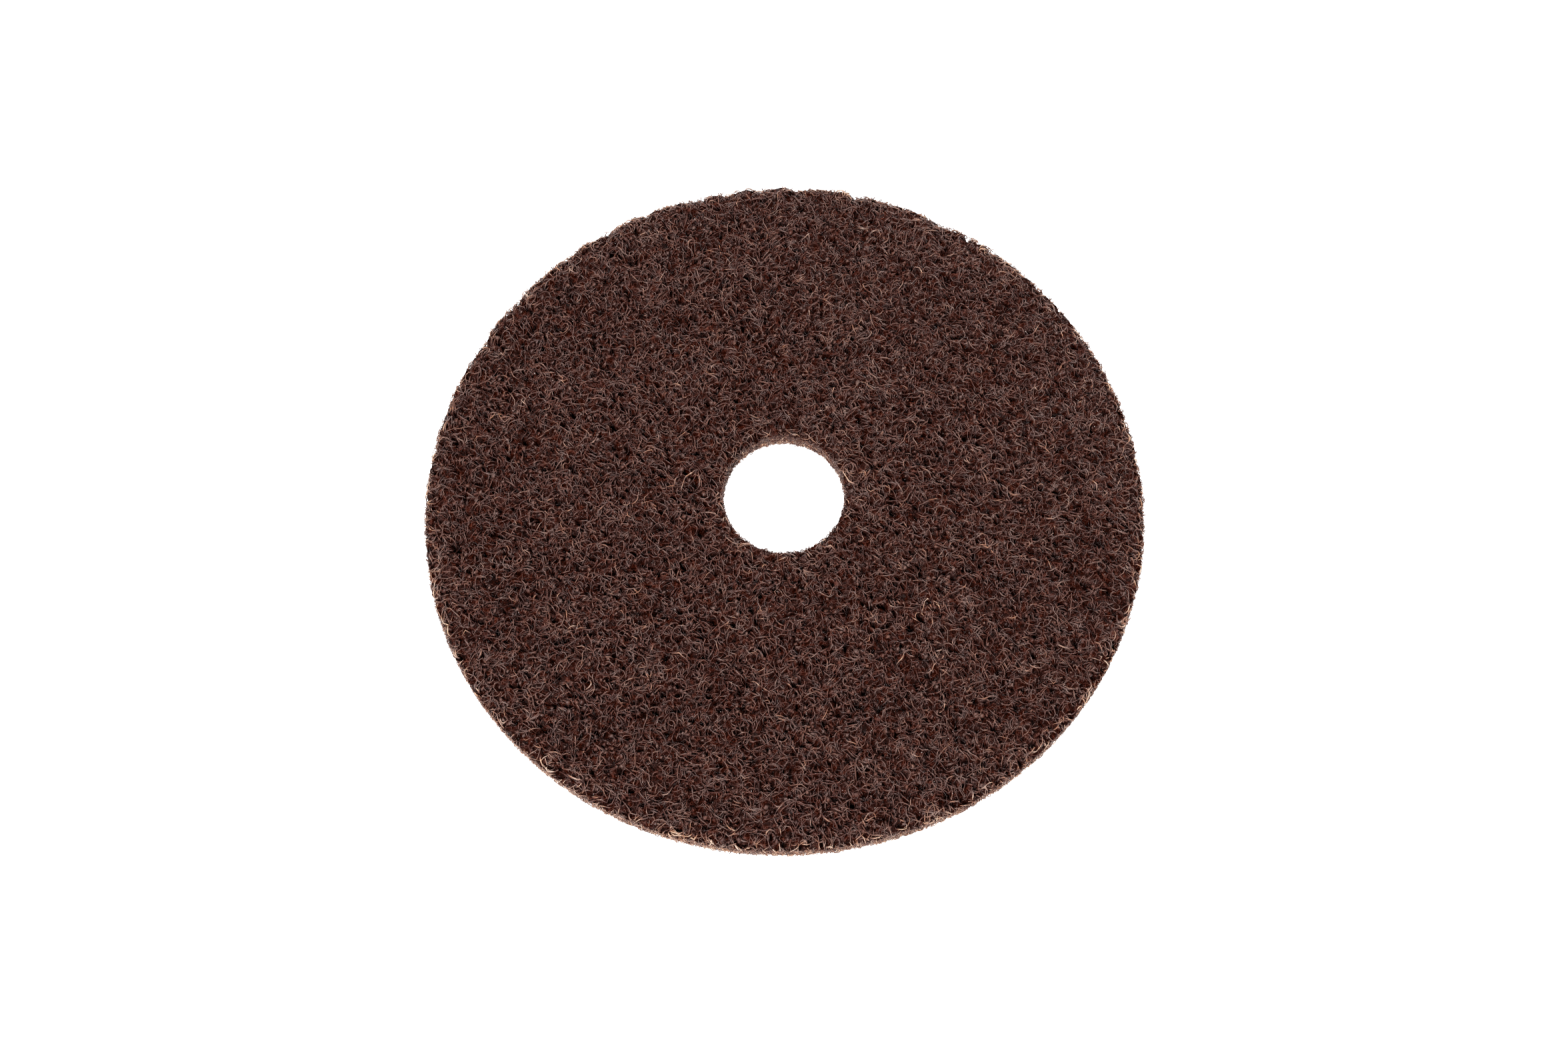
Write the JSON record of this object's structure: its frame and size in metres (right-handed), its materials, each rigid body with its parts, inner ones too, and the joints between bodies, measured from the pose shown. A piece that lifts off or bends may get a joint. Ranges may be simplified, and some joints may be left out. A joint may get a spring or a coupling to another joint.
{
  "type": "non-woven abrasive disc",
  "caption": "Flat round non-woven abrasive disc of resin-bonded crimped nylon web in dark red-brown, with a plain centre hole, for surface conditioning on an angle grinder's backing pad.",
  "frame": {"origin": "centre of the hole, on the flat backing face that the disc lies on", "axes": "+Z along the disc's axis, out of the working face; -Y is the side nearest the camera in the picture, and +X is to the camera's right"},
  "size_m": [0.125, 0.125, 0.0058],
  "materials": {
    "bonded_nylon_web": "matte"
  },
  "bodies": {
    "root": {"abrasive_disc": "bonded_nylon_web"}
  },
  "joints": []
}
